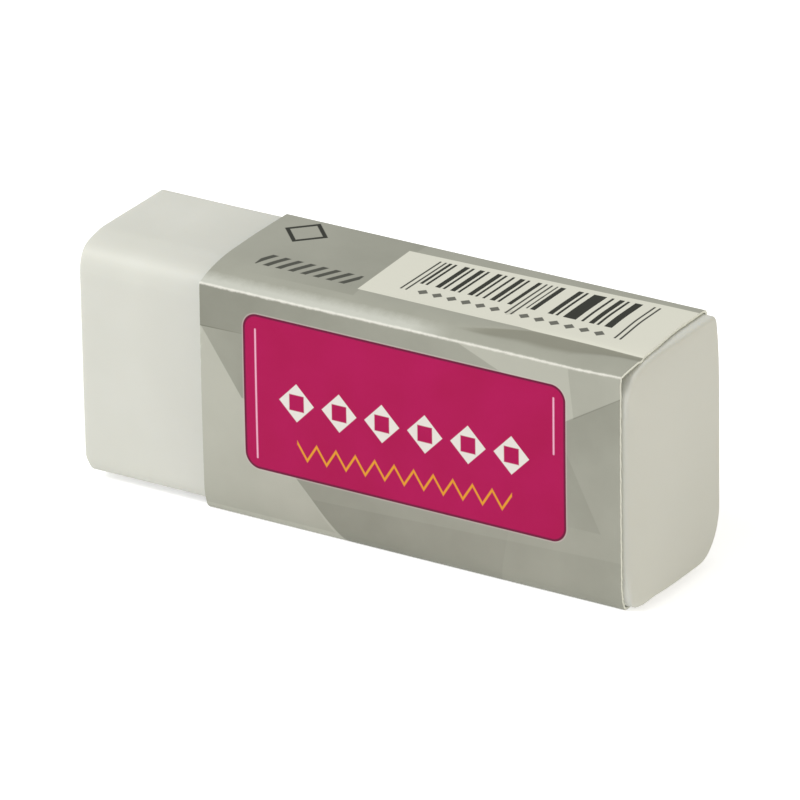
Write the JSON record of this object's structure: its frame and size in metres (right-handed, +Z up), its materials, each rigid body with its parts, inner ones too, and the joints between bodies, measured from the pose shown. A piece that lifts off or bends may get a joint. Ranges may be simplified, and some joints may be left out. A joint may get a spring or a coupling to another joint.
{
  "type": "sleeved eraser",
  "caption": "White vinyl block eraser that slides in a folded silver card sleeve with a sharp top crease, a round shoulder below it and a glued lap seam underneath.",
  "frame": {"origin": "on the standing face, below the middle of the whole eraser", "axes": "+X along the block towards its nearly flush end, -Y out of the wide printed panel, +Z up from the standing face"},
  "size_m": [0.043, 0.011, 0.0174],
  "materials": {
    "white_vinyl": "matt white plasticised vinyl",
    "printed_card": "silver ink with a magenta panel and a white label, satin varnish",
    "dried_glue": "dried white glue"
  },
  "bodies": {
    "sleeve": {"card_sleeve": "printed_card", "glue_strip": "dried_glue"},
    "block": {"eraser_block": "white_vinyl"}
  },
  "joints": [
    {"name": "block_slide", "type": "slide", "parent": "sleeve", "child": "block", "axis": [1, 0, 0], "range_m": [-0.031, 0.0395]}
  ]
}
